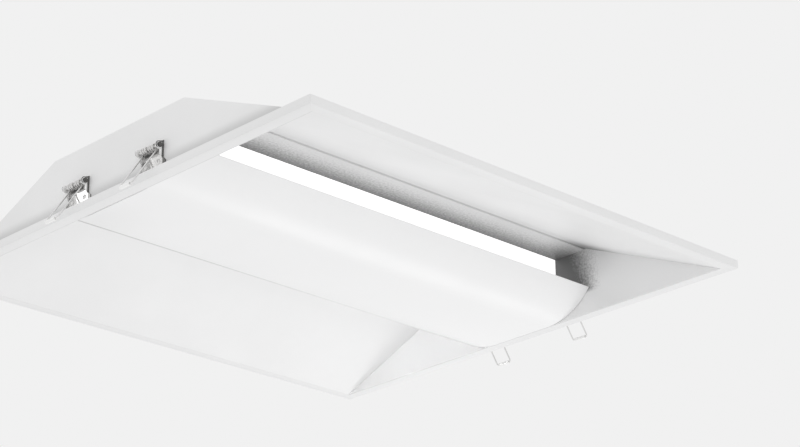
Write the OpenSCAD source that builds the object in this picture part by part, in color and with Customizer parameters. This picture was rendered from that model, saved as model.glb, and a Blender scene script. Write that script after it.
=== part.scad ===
// Recessed ceiling light, 600 mm square: a white steel housing with sloped
// reflector sides, a mitred trim, two opal light strips along a centre box,
// a curved panel below them and a spring clip at each end of the box.
// The origin is the centre of the ceiling opening, in the plane of the
// ceiling's lower face. +Z points up into the ceiling, X runs along the panel.

/* [Trim] */
// Outer side of the square trim
trim_size = 600; // [560:5:625]
// Height of the trim's outer leg, below the ceiling
trim_h = 9.3; // [7:0.1:12]
// Width of the visible flange
flange_w = 13; // [11:0.5:18]
// Wall of the trim's profile
trim_t = 1.2; // [0.8:0.1:1.6]
// Height of the trim's inner leg above the flange's lower face
inner_leg_h = 16; // [14.5:0.5:16]
// Gap between two rails where they meet in a corner
mitre_gap = 0.2; // [0.1:0.05:0.6]
// Leg of the angle key in each corner
key_l = 40; // [25:1:60]
// Thickness of the corner keys
key_t = 2.5; // [1.5:0.1:4]

/* [Housing] */
// Depth from the flange's lower face to the top of the housing
housing_d = 77.6; // [74:0.1:100]
// Width of the flat top between the two slopes
top_w = 203; // [180:1:230]
// Thickness of the steel sheet
sheet_t = 0.8; // [0.6:0.1:1]
// Width of the strips that join the sheets to the end plates
lip_w = 12; // [9:1:16]
// Overlap of each reflector's upper lip on the top sheet
lap_w = 14; // [10:1:20]
// Open line between the top sheet's edge and the reflector's fold
crease_gap = 2; // [1:0.5:4]
// Length of the strip between each end plate and the top sheet
tab_w = 80; // [60:1:84]
// Air left between sheets that lie on each other
lap_gap = 0.1; // [0.05:0.05:0.2]

/* [Light box] */
// Width over the outer faces of the two light strips
box_w = 112; // [104:1:124]
// Wall of the opal strips
diffuser_t = 1.5; // [1:0.1:2]
// Height of the tray's underside above the flange's lower face
tray_h = 31.8; // [31:0.1:36]
// Air between the circuit boards and the opal strips
led_air = 9; // [7:0.5:11]
// Thickness of the circuit boards
board_t = 1.6; // [1:0.1:2]
// Height of the circuit boards
board_h = 20; // [14:1:24]
// Side of one square light emitter
led_side = 3; // [2:0.1:5]
// Height of one light emitter
led_h = 0.7; // [0.5:0.1:1]
// Distance between two light emitters
led_pitch = 16; // [10:1:40]
// Wall of the aluminium carriers that hold the boards
carrier_t = 1.5; // [1.2:0.1:2]
// Flange of the carriers
carrier_lip = 11; // [10:0.5:12]

/* [Centre panel] */
// Width over the panel's two raised edges
panel_w = 209; // [190:1:215]
// Width of the panel's flat middle
panel_flat_w = 84; // [76:1:96]
// Radius of the curved sides, to the lower face
panel_r = 80; // [76:1:90]
// Thickness of the panel's aluminium sheet
panel_t = 1.5; // [1:0.1:2]
// Gap between the panel's ends and the end plates
panel_end_gap = 0.4; // [0.3:0.1:3]
// How far the panel pulls down for service
panel_travel = 35; // [20:1:36]
// Height of the cross ribs' upper face above the flange's lower face
rib_h = 16; // [12:0.5:18]
// Width of a cross rib
rib_w = 22; // [18:1:30]
// Length of a cross rib
rib_l = 136; // [100:1:140]
// Wall of a cross rib
rib_t = 1; // [0.8:0.1:1.5]
// Diameter of the guide posts
post_d = 5; // [4.6:0.1:5.5]
// Distance between the two rows of posts along the panel
post_dx = 350; // [340:1:380]
// Distance between the two posts of one rib
post_dy = 48; // [36:1:49]
// Radial air of a post in its bush
post_air = 0.05; // [0.02:0.01:0.1]

/* [Driver] */
// Length of the driver's case
driver_l = 270; // [200:1:280]
// Width of the driver's case
driver_w = 30; // [26:1:34]
// Height of the driver's case
driver_h = 22; // [20:1:30]
// Wall of the driver's case
driver_t = 0.8; // [0.6:0.1:1.2]

/* [Cable entry] */
// Bore of the cable grommet
cable_d = 10; // [7:0.5:12]
// Wall of the grommet's rubber neck
grommet_wall = 2; // [1.5:0.1:3]
// Width of the grommet's rims beyond its neck
grommet_rim = 2; // [1:0.1:3]
// Thickness of each rim
grommet_rim_t = 1.6; // [1:0.1:2.5]
// Diameter of the inner wires over their insulation
wire_core_d = 1.8; // [1.2:0.1:2.4]

/* [Spring clips] */
// Distance of each clip from the middle of the end plate
clip_y = 59; // [50:1:75]
// Width of the clip's bracket
bracket_w = 32; // [28:0.5:36]
// Width of the bracket's foot
foot_w = 39.5; // [37:0.5:44]
// Wall of the clip's bracket
bracket_t = 1; // [0.8:0.1:1.2]
// Depth of the bracket's two side flanges
flange_depth = 4.6; // [3:0.2:5.2]
// Height of the bracket's upper edge above the flange's lower face
bracket_top = 42.4; // [40.4:0.1:44]
// Height of the clip's pin above the flange's lower face
pin_h = 36; // [34:0.1:36.5]
// Distance of the pin's axis from the end plate
pin_out = 5.6; // [5.4:0.1:6.2]
// Diameter of the clip's pin
pin_d = 3.4; // [2.8:0.1:3.5]
// Radial air of the pin in the bracket's ears
pin_air = 0.05; // [0.02:0.01:0.1]
// Diameter of the spring wire
spring_d = 1.6; // [1.4:0.05:1.7]
// Radius of the coils, to the middle of the wire
coil_r = 3; // [2.9:0.05:3.1]
// Whole turns in each of the two coils of a spring
coil_turns = 3; // [2:1:3]
// Rise of a coil in one turn
coil_pitch = 2.9; // [2.3:0.05:2.95]
// Distance between the two legs of the wire arm
arm_w = 20.5; // [20.5:0.5:22]
// Length of the arm from the pin to the middle of its end
arm_l = 53; // [40:0.5:60]
// Angle of the resting arm below the horizontal
arm_rest = 56; // [52:1:64]
// Bend radius of the arm's two corners
arm_bend_r = 2.4; // [2:0.1:4]
// Length of the spring's two tails
tail_l = 3.4; // [2.4:0.1:3.4]
// Outer diameter of the sleeve on the arm's end
sleeve_d = 4; // [3:0.1:5]

/* [Fasteners] */
// Shank of the sheet screws
screw_d = 2.9; // [2.4:0.1:3.2]
// Head of the sheet screws
screw_head_d = 5.4; // [4.5:0.1:6]
// Shank of the blind rivets
rivet_d = 3.2; // [2.8:0.1:4]
// Head of the blind rivets
rivet_head_d = 6.2; // [5:0.1:7]
// Head of the clips' flat rivets
clip_rivet_head_d = 5.2; // [4.6:0.1:6]
// Radial air of a shank in its hole
hole_air = 0.05; // [0.02:0.01:0.15]

/* [Hidden] */
$fn = 48;

// Colours
white_paint = [0.93, 0.93, 0.92];
bare_zinc = [0.72, 0.74, 0.75];
bright_nickel = [0.66, 0.66, 0.67];
opal = [0.98, 0.98, 0.97];
raw_alloy = [0.8, 0.81, 0.82];
board_white = [0.92, 0.94, 0.92];
nylon = [0.9, 0.9, 0.88];
black_rubber = [0.12, 0.12, 0.12];

// Trim: heights count from the ceiling plane, depths from the outer edge
half = trim_size / 2;
face_z = -trim_h;
inner_half = half - flange_w;
cut_over = 1;

// Housing: the end plates stand inside the trim's inner legs
plate_out = inner_half - lap_gap;
plate_in = plate_out - sheet_t;
inside_half = plate_in - lap_gap;
housing_z = face_z + housing_d;
top_sheet_z = housing_z - sheet_t - lap_gap;
ceiling_z = top_sheet_z - sheet_t;
sheet_foot_z = face_z + 0.2;
slope_dy = plate_out - top_w / 2;
slope_dz = housing_z - sheet_foot_z;
slope_a = atan(slope_dz / slope_dy) - asin(sheet_t / norm([slope_dy, slope_dz]));
function slope_inner_z(y) = sheet_foot_z + (plate_out - y) * tan(slope_a);
function slope_z(y, out) = slope_inner_z(y) + out / cos(slope_a);
function slope_y(z, out) = plate_out - (z - sheet_foot_z - out / cos(slope_a)) / tan(slope_a);
upper_lip_z = housing_z - sheet_t;
fold_y = slope_y(upper_lip_z, 0);
top_sheet_half = fold_y - crease_gap;
leg_lip_z = face_z + inner_leg_h - 1;
slope_lip_out = 2 * sheet_t + lap_gap;

// Light box
box_half = box_w / 2;
tray_z = face_z + tray_h;
tray_floor_z = tray_z + sheet_t;
tray_lip_h = 4;
tray_half_l = inside_half - 0.5;
strip_end_gap = 0.5;
strip_half_l = inside_half - strip_end_gap;
board_face = box_half - diffuser_t - led_air;
carrier_face = board_face - board_t;
carrier_in = carrier_face - carrier_t;
carrier_half_l = inside_half - 3;
carrier_z = tray_floor_z + lap_gap;
carrier_top = ceiling_z - lap_gap;
board_z = (carrier_z + carrier_top) / 2;
board_half_l = carrier_half_l - 2;
board_joint = 1;
led_count = floor((board_half_l - 12) / led_pitch);
carrier_row_y = carrier_in - carrier_lip / 2 + 0.4;
carrier_row_x = [for (k = [-2.5:1:2.5]) k * (2 * carrier_half_l - 30) / 5];
tray_row_x = [for (k = [-1, 0, 1]) k * (carrier_half_l - 20)];

// Centre panel
panel_half_l = plate_in - panel_end_gap;
panel_in_r = panel_r - panel_t;
panel_axis_y = panel_flat_w / 2;
panel_axis_z = face_z + panel_r;
panel_edge_a = asin((panel_w / 2 - panel_axis_y) / panel_r);
rib_z = face_z + rib_h;
posts = [for (x = [-1, 1]) for (y = [-1, 1]) [x * post_dx / 2, y * post_dy / 2]];
shoulder_d = post_d + 4;
bush_below = 2;
bush_above = 2.5;
shoulder_z = tray_z - bush_below - 0.3;
bush_neck_d = post_d + 4;
bush_rim_d = post_d + 8;
bush_rim_t = 1.2;
post_head_d = post_d + 3.4;
post_head_t = 2;
post_stop_z = tray_floor_z + bush_above;
post_head_z = post_stop_z + panel_travel;
post_tap_depth = 9;

// Fasteners
head_t = 1.6;
trim_screw_z = face_z + inner_leg_h - 3.4;
side_screw_x = [for (k = [-1.5:1:1.5]) k * trim_size * 0.235];
end_screw_y = [-30, 30];
trim_screw_l = 6;
plate_rivet_y = [-27, -9, 9, 27];
rivet_tail_t = 1.2;
clip_rivet_head_t = 0.8;

// Driver and connections, on the tray's floor
driver_y = -15.5;
driver_z = tray_floor_z + lap_gap;
driver_foot_l = 12;
driver_screw_x = [-1, 1] * (driver_l / 2 + driver_foot_l / 2);
driver_ledge_h = 3;
driver_skirt_h = 4;
pcb_t = 1.6;
driver_pcb_z = driver_z + driver_t + driver_ledge_h;
wire_hole_z = driver_z + 9;
wire_hole_y = 6;
block_x = inside_half - 59;
block_y = driver_y + 3;
block_l = 30;
block_w = 20;
block_h = 17;
block_base_h = 5;
block_screw_y = 5;
block_screw_d = 4;
block_screw_l = 5;
block_pole_x = [-10, 0, 10];
block_pole_w = 8;
block_wire_z = 9;
grommet_x = block_x;
grommet_y = 16;
grommet_neck_d = cable_d + 2 * grommet_wall;
clamp_x = inside_half - 27;
clamp_y = 10;
clamp_w = 10;
clamp_wall = 2.5;
clamp_foot = 7;
clamp_foot_t = 3;
earth_x = clamp_x;
earth_y = driver_y - 3;
earth_d = 4;
earth_below = 1.2;
earth_washer_t = 0.8;
earth_nut_d = 8;
earth_nut_h = 3.2;

// Spring clips: the clip is drawn for the end plate at +X, round its pin
ear_t = bracket_t;
ear_out = bracket_w / 2;
ear_in = ear_out - ear_t;
ear_r = 4.2;
flange_drop = 8.6;
clip_plate_x = -pin_out;
ear_root_x = clip_plate_x + lap_gap / 2;
bracket_foot_z = inner_leg_h + 0.4 - pin_h;
bracket_rivet_y = 10;
bracket_rivet_z = 21.5 - pin_h;
sleeve_bore_air = 0.15;
leg_y = arm_w / 2;
coil_start_a = 270;
coil_end_a = 270 - arm_rest + 360 * coil_turns;
coil_rise = coil_pitch * (coil_end_a - coil_start_a) / 360;
tail_y = leg_y - coil_rise;
rings_per_turn = 8;
wire_sides = 6;
coil_steps = ceil(rings_per_turn * (coil_end_a - coil_start_a) / 360);
corner_steps = 4;
clips = [[-1, -1], [-1, 1], [1, -1], [1, 1]];

// Helpers

module along_x(length) {
    translate([-length / 2, 0, 0]) rotate([90, 0, 90]) linear_extrude(length) children();
}

module both_sides() {
    children();
    rotate([0, 0, 180]) children();
}

module pan_screw(length, shank = screw_d, head = screw_head_d) {
    cylinder(h = length, d = shank);
    translate([0, 0, -head_t]) cylinder(h = head_t, d = head);
}

module blind_rivet(grip, head = rivet_head_d, height = head_t) {
    translate([0, 0, -rivet_tail_t]) cylinder(h = grip + rivet_tail_t, d = rivet_d);
    translate([0, 0, -rivet_tail_t]) cylinder(h = rivet_tail_t, d1 = rivet_d + 0.6, d2 = rivet_d + 1.6);
    intersection() {
        translate([0, 0, grip]) cylinder(h = height, d = head);
        translate([0, 0, grip + height - head]) sphere(d = 2 * head);
    }
}

module bore(d, length) {
    translate([0, 0, -length / 2]) cylinder(h = length, d = d + 2 * hole_air);
}

function unit(v) = v / norm(v);
function square_to(side, ahead) = unit(side - (side * ahead) * ahead);
function headings(path) = [
    for (i = [0:len(path) - 1])
        unit(path[min(i + 1, len(path) - 1)] - path[max(i - 1, 0)])
];
function carried_sides(ahead, first) = [
    for (i = 0, side = square_to(first, ahead[0]);
         i < len(ahead);
         i = i + 1, side = i < len(ahead) ? square_to(side, ahead[i]) : side)
        side
];

// A tube of triangles along a path, with one ring at each point
module tube(path, d, sides, first_side) {
    ahead = headings(path);
    across = carried_sides(ahead, first_side);
    rings = len(path);
    points = [
        for (i = [0:rings - 1])
            for (k = [0:sides - 1])
                path[i] + d / 2 * (cos(360 * k / sides) * across[i]
                    + sin(360 * k / sides) * cross(ahead[i], across[i]))
    ];
    walls = [
        for (i = [0:rings - 2])
            for (k = [0:sides - 1])
                let (a = i * sides + k, b = i * sides + (k + 1) % sides)
                    each [[a, a + sides, b], [b, a + sides, b + sides]]
    ];
    first_cap = [for (k = [1:sides - 2]) [0, k, k + 1]];
    last = (rings - 1) * sides;
    last_cap = [for (k = [1:sides - 2]) [last, last + k + 1, last + k]];
    polyhedron(points = points, faces = concat(walls, first_cap, last_cap));
}

// A path whose corners are rounded by three points each
function eased(points, r) = [
    for (i = [0:len(points) - 1])
        if (i == 0 || i == len(points) - 1) points[i]
        else let (
            back = unit(points[i - 1] - points[i]),
            ahead = unit(points[i + 1] - points[i]),
            reach = min(r, norm(points[i - 1] - points[i]) / 3, norm(points[i + 1] - points[i]) / 3)
        ) each [
            points[i] + reach * back,
            points[i] + reach * (back + ahead) / 4,
            points[i] + reach * ahead
        ]
];

module bent_wire(points, d) {
    tube(eased(points, 2.5 * d), d, 8, [0.31, 0.53, 0.79]);
}

// Trim

module trim_section() {
    translate([0, face_z]) square([trim_t, trim_h]);
    translate([0, face_z]) square([flange_w, trim_t]);
    translate([flange_w - trim_t, face_z]) square([trim_t, inner_leg_h]);
}

module mitre_plan() {
    back_off = mitre_gap / sqrt(2);
    far = half + cut_over;
    near = inner_half - cut_over;
    polygon([
        [-far + back_off, -far], [far - back_off, -far],
        [near - back_off, -near], [-near + back_off, -near]
    ]);
}

module trim_rail(turn, screws) {
    color(white_paint) rotate([0, 0, turn]) difference() {
        intersection() {
            translate([0, -half, 0]) along_x(trim_size) trim_section();
            translate([0, 0, face_z - cut_over])
                linear_extrude(inner_leg_h + 2 * cut_over) mitre_plan();
        }
        for (x = screws) translate([x, -inner_half, trim_screw_z])
            rotate([90, 0, 0]) bore(screw_d, 3 * trim_t);
    }
}

module corner_keys() {
    outer = half - trim_t - lap_gap;
    leg = flange_w - 2 * trim_t - 2 * lap_gap;
    color(bare_zinc) for (turn = [0:90:270]) rotate([0, 0, turn])
        translate([-outer, -outer, face_z + trim_t]) linear_extrude(key_t) union() {
            square([key_l, leg]);
            square([leg, key_l]);
        }
}

module trim_screw(turn, along) {
    rotate([0, 0, turn]) translate([along, -inner_half - trim_t, trim_screw_z])
        rotate([-90, 0, 0]) pan_screw(trim_screw_l);
}

module trim_screws() {
    color(bare_zinc) {
        for (turn = [0, 180]) for (x = side_screw_x) trim_screw(turn, x);
        for (turn = [90, 270]) for (y = end_screw_y) trim_screw(turn, y);
    }
}

// Housing

module reflector_section() {
    lip_in = plate_out - sheet_t;
    polygon([
        [plate_out, sheet_foot_z], [plate_out, leg_lip_z], [lip_in, leg_lip_z],
        [lip_in, slope_z(lip_in, sheet_t)], [slope_y(housing_z, sheet_t), housing_z],
        [slope_y(housing_z, sheet_t) - lap_w, housing_z],
        [slope_y(housing_z, sheet_t) - lap_w, upper_lip_z], [fold_y, upper_lip_z]
    ]);
}

module side_reflector(turn) {
    color(white_paint) rotate([0, 0, turn]) difference() {
        along_x(2 * inside_half) reflector_section();
        for (x = side_screw_x) translate([x, plate_out, trim_screw_z])
            rotate([90, 0, 0]) bore(screw_d, 3 * sheet_t);
    }
}

module housing_top() {
    color(white_paint) difference() {
        translate([-inside_half, -top_sheet_half, ceiling_z])
            cube([2 * inside_half, 2 * top_sheet_half, sheet_t]);
        translate([grommet_x, grommet_y, ceiling_z]) bore(grommet_neck_d, 4 * sheet_t);
        for (x = carrier_row_x) for (y = [-1, 1])
            translate([x, y * carrier_row_y, ceiling_z]) bore(rivet_d, 4 * sheet_t);
        for (side = [-1, 1]) for (y = plate_rivet_y)
            translate([side * (inside_half - lip_w / 2), y, ceiling_z]) bore(rivet_d, 4 * sheet_t);
    }
}

module end_plate_outline() {
    corner = slope_y(housing_z, slope_lip_out);
    foot = plate_out;
    polygon([
        [-foot, sheet_foot_z], [foot, sheet_foot_z], [foot, slope_z(foot, slope_lip_out)],
        [corner, housing_z], [-corner, housing_z], [-foot, slope_z(foot, slope_lip_out)]
    ]);
}

// The room under the joint strips, up to the sheets they lie on
module under_strips_outline() {
    out = sheet_t + lap_gap;
    low = sheet_foot_z - cut_over;
    corner = slope_y(upper_lip_z, out);
    polygon([
        [-half, low], [half, low], [half, slope_z(half, out)], [corner, upper_lip_z],
        [-corner, upper_lip_z], [-half, slope_z(half, out)]
    ]);
}

module end_plate(turn) {
    color(white_paint) rotate([0, 0, turn]) difference() {
        translate([(plate_in + plate_out) / 2, 0, 0]) along_x(sheet_t) end_plate_outline();
        for (y = end_screw_y) translate([plate_out, y, trim_screw_z])
            rotate([0, 90, 0]) bore(screw_d, 3 * sheet_t);
        for (side = [-1, 1]) for (y = [-1, 1])
            translate([plate_out, side * clip_y + y * bracket_rivet_y, face_z + pin_h + bracket_rivet_z])
                rotate([0, 90, 0]) bore(rivet_d, 3 * sheet_t);
    }
}

// Flat strips welded to the end plates' inner faces, which lap the other sheets
module joint_strips() {
    strip_in = inside_half - lip_w;
    notch_x = strip_in + (lip_w + cut_over) / 2 - cut_over;
    tab_gap_w = slope_y(housing_z, slope_lip_out) + 1 - tab_w / 2;
    foot_gap_w = half - strip_in;
    color(white_paint) both_sides() difference() {
        translate([strip_in + lip_w / 2, 0, 0]) along_x(lip_w) end_plate_outline();
        translate([strip_in, 0, 0]) along_x(4 * lip_w) under_strips_outline();
        for (side = [-1, 1]) {
            translate([notch_x, side * (tab_w + tab_gap_w) / 2, housing_z])
                cube([lip_w + 3 * cut_over, tab_gap_w, 4 * sheet_t], center = true);
            translate([notch_x, side * (strip_in + foot_gap_w / 2), sheet_foot_z])
                cube([lip_w + 3 * cut_over, foot_gap_w, 2 * housing_d], center = true);
        }
        for (y = plate_rivet_y) translate([strip_in + lip_w / 2, y, housing_z])
            bore(rivet_d, 3 * sheet_t);
    }
}

module end_plate_rivets() {
    grip = 2 * sheet_t + lap_gap;
    color(bare_zinc) for (side = [-1, 1]) for (y = plate_rivet_y)
        translate([side * (inside_half - lip_w / 2), y, ceiling_z]) blind_rivet(grip);
}

// Light box

module led_carrier_section() {
    translate([carrier_in, carrier_z]) square([carrier_t, carrier_top - carrier_z]);
    translate([carrier_in - carrier_lip, carrier_z]) square([carrier_lip + carrier_t, carrier_t]);
    translate([carrier_in - carrier_lip, carrier_top - carrier_t])
        square([carrier_lip + carrier_t, carrier_t]);
}

module led_carrier(turn) {
    color(raw_alloy) rotate([0, 0, turn]) difference() {
        along_x(2 * carrier_half_l) led_carrier_section();
        for (x = carrier_row_x) translate([x, carrier_row_y, carrier_top])
            bore(rivet_d, 4 * carrier_t);
        for (x = tray_row_x) translate([x, carrier_row_y, carrier_z])
            bore(screw_d, 4 * carrier_t);
    }
}

module carrier_rivets() {
    grip = top_sheet_z - carrier_top + carrier_t;
    color(bare_zinc) for (x = carrier_row_x) for (y = [-1, 1])
        translate([x, y * carrier_row_y, carrier_top - carrier_t]) blind_rivet(grip);
}

module led_board(turn) {
    plug = [8, 3, 5];
    length = board_half_l - board_joint / 2;
    middle = (board_half_l + board_joint / 2) / 2;
    color(board_white) rotate([0, 0, turn]) for (side = [-1, 1]) {
        translate([side * middle, (carrier_face + board_face) / 2, board_z])
            cube([length, board_t, board_h], center = true);
        translate([side * (board_joint + plug[0]) / 2, board_face + plug[1] / 2 - board_t / 2, board_z + 6])
            cube(plug + [0, board_t, 0], center = true);
    }
}

module led_emitters() {
    color("lightyellow") both_sides() for (side = [-1, 1]) for (k = [1:led_count])
        translate([side * (k * led_pitch) - led_side / 2, board_face, board_z - led_side / 2])
            cube([led_side, led_h, led_side]);
}

module light_strip_section() {
    low = tray_floor_z + lap_gap;
    high = ceiling_z - 0.3;
    inner = carrier_face + 0.4;
    translate([box_half - diffuser_t, low]) square([diffuser_t, high - low]);
    translate([inner, low]) square([box_half - inner, diffuser_t]);
    translate([inner, high - diffuser_t]) square([box_half - inner, diffuser_t]);
}

module light_strip(turn) {
    color(opal) rotate([0, 0, turn]) along_x(2 * strip_half_l) light_strip_section();
}

module gear_tray() {
    half_w = box_half + lap_gap;
    color(white_paint) difference() {
        along_x(2 * tray_half_l) union() {
            translate([-half_w - sheet_t, tray_z]) square([2 * (half_w + sheet_t), sheet_t]);
            for (side = [-half_w - sheet_t, half_w])
                translate([side, tray_z]) square([sheet_t, tray_lip_h]);
        }
        for (p = posts) translate([p[0], p[1], tray_z]) bore(bush_neck_d, 4 * sheet_t);
        for (x = tray_row_x) for (y = [-1, 1])
            translate([x, y * carrier_row_y, tray_z]) bore(screw_d, 4 * sheet_t);
        for (x = driver_screw_x) translate([x, driver_y, tray_z]) bore(screw_d, 4 * sheet_t);
        translate([earth_x, earth_y, tray_z]) bore(earth_d, 4 * sheet_t);
    }
}

module tray_screws() {
    color(bare_zinc) for (x = tray_row_x) for (y = [-1, 1])
        translate([x, y * carrier_row_y, tray_z]) pan_screw(5);
}

module post_bushes() {
    height = bush_below + sheet_t + bush_above;
    color(nylon) for (p = posts) translate([p[0], p[1], tray_z - bush_below]) difference() {
        union() {
            cylinder(h = height, d = bush_neck_d);
            translate([0, 0, bush_below - bush_rim_t]) cylinder(h = bush_rim_t, d = bush_rim_d);
            translate([0, 0, bush_below + sheet_t]) cylinder(h = bush_rim_t, d = bush_rim_d);
        }
        translate([0, 0, -cut_over])
            cylinder(h = height + 2 * cut_over, d = post_d + 2 * post_air);
    }
}

// Driver

module driver_case_section() {
    difference() {
        translate([-driver_w / 2, 0]) square([driver_w, driver_h - driver_t - lap_gap]);
        translate([-driver_w / 2 + driver_t, driver_t]) square([driver_w - 2 * driver_t, driver_h]);
    }
}

module driver_case() {
    wall_h = driver_h - driver_t - lap_gap;
    ledge_w = 2;
    color(bare_zinc) translate([0, driver_y, driver_z]) difference() {
        union() {
            along_x(driver_l) driver_case_section();
            for (side = [-1, 1]) translate([side * (driver_l - driver_t) / 2, 0, wall_h / 2])
                cube([driver_t, driver_w, wall_h], center = true);
            for (side = [-1, 1]) translate([0, side * (driver_w - ledge_w) / 2, driver_ledge_h / 2])
                cube([driver_l, ledge_w, driver_ledge_h - lap_gap], center = true);
            translate([0, 0, driver_t / 2])
                cube([driver_l + 2 * driver_foot_l, driver_w / 2, driver_t], center = true);
        }
        for (side = [-1, 1]) for (y = wire_hole_y * [-1, 0, 1])
            translate([side * driver_l / 2, y, wire_hole_z - driver_z]) rotate([0, 90, 0])
                bore(wire_core_d + 0.3, 4 * driver_t);
        for (x = driver_screw_x) translate([x, 0, 0]) bore(screw_d, 4 * driver_t);
    }
}

module driver_lid() {
    inset = driver_t + lap_gap;
    skirt_l = driver_l - 2 * inset;
    color(bare_zinc) translate([0, driver_y, driver_z + driver_h - driver_t]) {
        along_x(driver_l) translate([-driver_w / 2, 0]) square([driver_w, driver_t]);
        for (side = [-1, 1])
            translate([0, side * (driver_w / 2 - inset - driver_t / 2), (driver_t - driver_skirt_h) / 2])
                cube([skirt_l, driver_t, driver_skirt_h + driver_t], center = true);
    }
}

module board_block(x, length, width, height) {
    translate([x - length / 2, -width / 2, 0]) cube([length, width, pcb_t + height]);
}

module driver_board() {
    inset = driver_t + 0.4;
    room = driver_h - driver_t - driver_skirt_h - driver_ledge_h - pcb_t - 1;
    color("darkolivegreen") translate([0, driver_y, driver_pcb_z]) {
        board_block(0, driver_l - 2 * inset - 2, driver_w - 2 * inset, 0);
        for (side = [-1, 1])
            board_block(side * 0.44 * driver_l, 0.05 * driver_l, 0.67 * driver_w, 0.75 * room);
        board_block(0, 0.1 * driver_l, 0.67 * driver_w, room);
        board_block(-0.24 * driver_l, 0.07 * driver_l, 0.53 * driver_w, 0.9 * room);
        for (x = [-0.17, -0.11, 0.12])
            translate([x * driver_l, 0, 0]) cylinder(h = pcb_t + room, d = 0.4 * driver_w);
        for (x = [0.2, 0.25, 0.3])
            board_block(x * driver_l, 0.026 * driver_l, 0.27 * driver_w, 0.8 * room);
    }
}

module driver_screws() {
    color(bare_zinc) for (x = driver_screw_x)
        translate([x, driver_y, driver_z + driver_t]) rotate([180, 0, 0]) pan_screw(5);
}

// Mains connection

module terminal_block() {
    color(nylon) translate([block_x, block_y, tray_floor_z + lap_gap]) difference() {
        union() {
            translate([-block_l / 2, -block_w / 2, 0]) cube([block_l, block_w, block_base_h]);
            for (x = block_pole_x) translate([x - block_pole_w / 2, -block_w / 2, 0])
                cube([block_pole_w, block_w, block_h]);
        }
        for (x = block_pole_x) {
            translate([x, 0, block_wire_z]) rotate([90, 0, 0]) bore(wire_core_d + 1, 2 * block_w);
            for (y = [-1, 1]) translate([x, y * block_screw_y, block_h])
                bore(block_screw_d, 2 * block_screw_l + 1);
        }
    }
}

module terminal_screws() {
    color("darkgoldenrod") translate([block_x, block_y, tray_floor_z + lap_gap])
        for (x = block_pole_x) for (y = [-1, 1])
            translate([x, y * block_screw_y, block_h - block_screw_l - 0.4]) difference() {
                cylinder(h = block_screw_l, d = block_screw_d);
                translate([0, 0, block_screw_l]) cube([2 * block_screw_d, 0.8, 2], center = true);
            }
}

module cable_grommet() {
    rim_d = grommet_neck_d + 2 * grommet_rim;
    height = sheet_t + 2 * grommet_rim_t;
    color(black_rubber) translate([grommet_x, grommet_y, ceiling_z - grommet_rim_t]) difference() {
        union() {
            cylinder(h = height, d = grommet_neck_d);
            cylinder(h = grommet_rim_t, d = rim_d);
            translate([0, 0, grommet_rim_t + sheet_t]) cylinder(h = grommet_rim_t, d = rim_d);
        }
        translate([0, 0, -cut_over]) cylinder(h = height + 2 * cut_over, d = cable_d);
    }
}

// A saddle that grips the supply cable on the tray's floor, with two screws
module cable_clamp() {
    span = cable_d + 2 * clamp_foot;
    arch_d = cable_d + 2 * clamp_wall;
    color(nylon) translate([clamp_x, clamp_y, tray_floor_z + lap_gap]) {
        along_x(clamp_w) difference() {
            union() {
                translate([-span / 2, 0]) square([span, clamp_foot_t]);
                intersection() {
                    circle(d = arch_d);
                    translate([-arch_d / 2, 0]) square([arch_d, arch_d]);
                }
            }
            circle(d = cable_d);
        }
        for (y = [-1, 1]) translate([0, y * (span - screw_d - 1.6) / 2, 0])
            cylinder(h = clamp_foot_t + head_t, d = screw_d + 1.6);
    }
}

module earth_stud() {
    color("goldenrod") translate([earth_x, earth_y, tray_z]) {
        translate([0, 0, -earth_below]) cylinder(h = 13, d = earth_d);
        translate([0, 0, -earth_below]) cylinder(h = earth_below - lap_gap, d = earth_nut_d);
        translate([0, 0, sheet_t + lap_gap]) cylinder(h = earth_washer_t, d = earth_nut_d + 1);
        translate([0, 0, sheet_t + earth_washer_t]) cylinder(h = earth_nut_h, d = earth_nut_d, $fn = 6);
    }
}

module mains_wiring() {
    low = tray_floor_z + lap_gap + block_wire_z;
    front_y = block_y - block_w / 2;
    inserted = 3;
    first_turn = front_y - 4;
    color("saddlebrown") for (k = [0, 1]) {
        lane = k * (wire_core_d + 0.8);
        wire_x = block_x + block_pole_x[k];
        side_x = block_x - block_l / 2 - 6 - lane;
        middle_y = block_y - lane;
        end_y = driver_y - k * wire_hole_y;
        bent_wire([
            [wire_x, front_y + inserted, low], [wire_x, first_turn - lane, low],
            [side_x, first_turn - lane, low], [side_x, middle_y, low],
            [driver_l / 2 + 20, middle_y, low], [driver_l / 2 + 10, end_y, wire_hole_z],
            [driver_l / 2 - inserted, end_y, wire_hole_z]
        ], wire_core_d);
    }
    lug_z = tray_floor_z + earth_washer_t + earth_nut_h / 2;
    color("yellowgreen") bent_wire([
        [block_x + block_pole_x[2], front_y + inserted, low],
        [block_x + block_pole_x[2], first_turn, low],
        [earth_x, earth_y - earth_nut_d, low],
        [earth_x, earth_y - earth_nut_d / 2 - wire_core_d, lug_z]
    ], wire_core_d);
}

module light_wiring() {
    start = [-driver_l / 2 + 3, driver_y, wire_hole_z];
    high = board_z + 7;
    color("firebrick") for (side = [-1, 1]) {
        bend_y = side * (carrier_in - carrier_lip - 4);
        lane_x = start[0] - 17 - side * 3;
        bent_wire([
            start + [0, side * wire_hole_y, 0], start + [-8 - side * 3, side * wire_hole_y, 0],
            [lane_x, bend_y, wire_hole_z], [lane_x, bend_y, high],
            [lane_x, side * (carrier_in - 0.3 - wire_core_d / 2), high]
        ], wire_core_d);
    }
}

// Centre panel

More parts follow.
